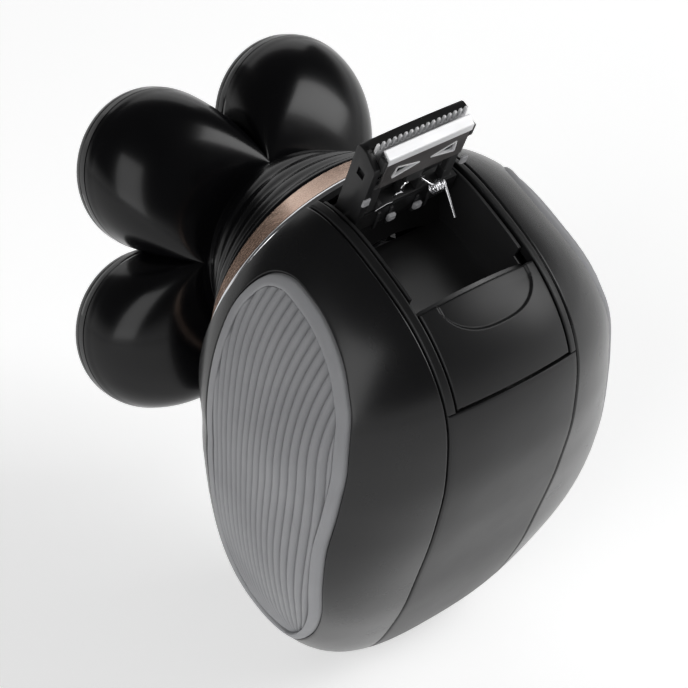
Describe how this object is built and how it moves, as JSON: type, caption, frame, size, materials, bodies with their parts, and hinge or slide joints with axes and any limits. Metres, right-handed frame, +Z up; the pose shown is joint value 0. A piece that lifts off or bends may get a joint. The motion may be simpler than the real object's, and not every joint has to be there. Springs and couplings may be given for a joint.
{
  "type": "electric shaver",
  "caption": "Palm-held rotary head shaver: egg-shaped body, lobed cutter head on a collar, ribbed side grips and a pop-up trimmer that folds into a bay.",
  "frame": {"origin": "centre of the flat underside of the foot", "axes": "+Z up, -Y is where the cutter head points (it dips 22 degrees below -Y), +Y is the palm side with the trimmer and its thumb slider, X runs across the hand"},
  "size_m": [0.074, 0.0889, 0.1128],
  "materials": {
    "satin_black": "satin",
    "gloss_black": "glossy",
    "matt_black": "matt",
    "grey_rubber": "matt",
    "rose_metal": "satin rose-gold anodised",
    "steel": "brushed",
    "spring_steel": "drawn wire",
    "battery_wrap": "shrink wrap",
    "board_green": "solder mask",
    "white_plastic": "natural",
    "brass": "plain",
    "clear_blue": "translucent"
  },
  "bodies": {
    "body": {"left_shell": "satin_black", "right_shell": "satin_black", "back_band": "satin_black", "front_band": "satin_black", "base_foot": "matt_black", "left_grip": "grey_rubber", "right_grip": "grey_rubber", "collar_seat": "matt_black", "collar_ring": "rose_metal", "trimmer_bay": "matt_black", "hinge_pin": "steel", "motor_can": "steel", "motor_mount": "white_plastic", "mount_screw_1": "steel", "mount_screw_2": "steel", "battery_cell": "battery_wrap", "circuit_board": "board_green", "tactile_switch": "matt_black", "indicator_lens": "clear_blue", "charging_socket": "matt_black", "socket_pin": "brass"},
    "motor_shaft": {"motor_shaft": "steel"},
    "power_button": {"power_button": "satin_black"},
    "trimmer_slider": {"trimmer_slider": "satin_black"},
    "trimmer_arm": {"trimmer_arm": "satin_black", "trimmer_comb": "steel", "blade_cover": "steel", "rest_pad_left": "grey_rubber", "rest_pad_right": "grey_rubber", "trimmer_spring": "spring_steel"},
    "trimmer_blade": {"trimmer_blade": "steel", "drive_fork": "white_plastic"},
    "head": {"head_housing": "gloss_black", "head_front_plate": "gloss_black", "gear_retaining_plate": "white_plastic"},
    "sun_gear": {"sun_gear": "white_plastic"},
    "drive_gear_1": {"drive_gear_1": "white_plastic"},
    "cutter_cap_1": {"cutter_cap_1": "steel"},
    "inner_cutter_1": {"inner_cutter_1": "steel"},
    "drive_gear_2": {"drive_gear_2": "white_plastic"},
    "cutter_cap_2": {"cutter_cap_2": "steel"},
    "inner_cutter_2": {"inner_cutter_2": "steel"},
    "drive_gear_3": {"drive_gear_3": "white_plastic"},
    "cutter_cap_3": {"cutter_cap_3": "steel"},
    "inner_cutter_3": {"inner_cutter_3": "steel"},
    "drive_gear_4": {"drive_gear_4": "white_plastic"},
    "cutter_cap_4": {"cutter_cap_4": "steel"},
    "inner_cutter_4": {"inner_cutter_4": "steel"},
    "drive_gear_5": {"drive_gear_5": "white_plastic"},
    "cutter_cap_5": {"cutter_cap_5": "steel"},
    "inner_cutter_5": {"inner_cutter_5": "steel"}
  },
  "joints": [
    {"name": "head_release", "type": "slide", "parent": "body", "child": "head", "axis": [0, -0.9272, -0.3746], "range_m": [0, 0.025]},
    {"name": "sun_spin", "type": "hinge", "parent": "head", "child": "sun_gear", "pos_m": [0, -0.0257, 0.0664], "axis": [0, -0.9272, -0.3746], "continuous": true},
    {"name": "shaft_spin", "type": "hinge", "parent": "body", "child": "motor_shaft", "pos_m": [0, -0.0257, 0.0664], "axis": [0, -0.9272, -0.3746], "continuous": true},
    {"name": "trimmer_hinge", "type": "hinge", "parent": "body", "child": "trimmer_arm", "pos_m": [0, 0.0016, 0.0957], "axis": [1, 0, 0], "range_deg": [-85.7, 0], "stiffness_Nm_per_rad": 0.006, "springref_deg": 17.19},
    {"name": "blade_slide", "type": "slide", "parent": "trimmer_arm", "child": "trimmer_blade", "axis": [1, 0, 0], "range_m": [-0.0008, 0.0008]},
    {"name": "slider_slide", "type": "slide", "parent": "body", "child": "trimmer_slider", "axis": [0, -0.6364, 0.7714], "range_m": [0, 0.002], "stiffness_N_per_m": 60, "springref_m": -0.002},
    {"name": "button_press", "type": "slide", "parent": "body", "child": "power_button", "axis": [0, 1, 0], "range_m": [0, 0.001], "stiffness_N_per_m": 60, "springref_m": -0.001},
    {"name": "gear_1_spin", "type": "hinge", "parent": "head", "child": "drive_gear_1", "pos_m": [0.01411, -0.03297, 0.0844], "axis": [0, -0.9272, -0.3746], "continuous": true},
    {"name": "cap_1_float", "type": "slide", "parent": "head", "child": "cutter_cap_1", "axis": [0, 0.9272, 0.3746], "range_m": [0, 0.0015], "stiffness_N_per_m": 80, "springref_m": -0.001},
    {"name": "cutter_1_spin", "type": "hinge", "parent": "cutter_cap_1", "child": "inner_cutter_1", "pos_m": [0.01411, -0.03297, 0.0844], "axis": [0, -0.9272, -0.3746], "continuous": true},
    {"name": "gear_2_spin", "type": "hinge", "parent": "head", "child": "drive_gear_2", "pos_m": [-0.01411, -0.03297, 0.0844], "axis": [0, -0.9272, -0.3746], "continuous": true},
    {"name": "cap_2_float", "type": "slide", "parent": "head", "child": "cutter_cap_2", "axis": [0, 0.9272, 0.3746], "range_m": [0, 0.0015], "stiffness_N_per_m": 80, "springref_m": -0.001},
    {"name": "cutter_2_spin", "type": "hinge", "parent": "cutter_cap_2", "child": "inner_cutter_2", "pos_m": [-0.01411, -0.03297, 0.0844], "axis": [0, -0.9272, -0.3746], "continuous": true},
    {"name": "gear_3_spin", "type": "hinge", "parent": "head", "child": "drive_gear_3", "pos_m": [-0.02283, -0.02292, 0.05952], "axis": [0, -0.9272, -0.3746], "continuous": true},
    {"name": "cap_3_float", "type": "slide", "parent": "head", "child": "cutter_cap_3", "axis": [0, 0.9272, 0.3746], "range_m": [0, 0.0015], "stiffness_N_per_m": 80, "springref_m": -0.001},
    {"name": "cutter_3_spin", "type": "hinge", "parent": "cutter_cap_3", "child": "inner_cutter_3", "pos_m": [-0.02283, -0.02292, 0.05952], "axis": [0, -0.9272, -0.3746], "continuous": true},
    {"name": "gear_4_spin", "type": "hinge", "parent": "head", "child": "drive_gear_4", "pos_m": [0, -0.01671, 0.04415], "axis": [0, -0.9272, -0.3746], "continuous": true},
    {"name": "cap_4_float", "type": "slide", "parent": "head", "child": "cutter_cap_4", "axis": [0, 0.9272, 0.3746], "range_m": [0, 0.0015], "stiffness_N_per_m": 80, "springref_m": -0.001},
    {"name": "cutter_4_spin", "type": "hinge", "parent": "cutter_cap_4", "child": "inner_cutter_4", "pos_m": [0, -0.01671, 0.04415], "axis": [0, -0.9272, -0.3746], "continuous": true},
    {"name": "gear_5_spin", "type": "hinge", "parent": "head", "child": "drive_gear_5", "pos_m": [0.02283, -0.02292, 0.05952], "axis": [0, -0.9272, -0.3746], "continuous": true},
    {"name": "cap_5_float", "type": "slide", "parent": "head", "child": "cutter_cap_5", "axis": [0, 0.9272, 0.3746], "range_m": [0, 0.0015], "stiffness_N_per_m": 80, "springref_m": -0.001},
    {"name": "cutter_5_spin", "type": "hinge", "parent": "cutter_cap_5", "child": "inner_cutter_5", "pos_m": [0.02283, -0.02292, 0.05952], "axis": [0, -0.9272, -0.3746], "continuous": true}
  ],
  "couplings": [
    {"joint": "shaft_spin", "follows": "sun_spin", "ratio": 1},
    {"joint": "gear_1_spin", "follows": "sun_spin", "ratio": -2},
    {"joint": "cutter_1_spin", "follows": "sun_spin", "ratio": -2},
    {"joint": "gear_2_spin", "follows": "sun_spin", "ratio": -2},
    {"joint": "cutter_2_spin", "follows": "sun_spin", "ratio": -2},
    {"joint": "gear_3_spin", "follows": "sun_spin", "ratio": -2},
    {"joint": "cutter_3_spin", "follows": "sun_spin", "ratio": -2},
    {"joint": "gear_4_spin", "follows": "sun_spin", "ratio": -2},
    {"joint": "cutter_4_spin", "follows": "sun_spin", "ratio": -2},
    {"joint": "gear_5_spin", "follows": "sun_spin", "ratio": -2},
    {"joint": "cutter_5_spin", "follows": "sun_spin", "ratio": -2}
  ]
}
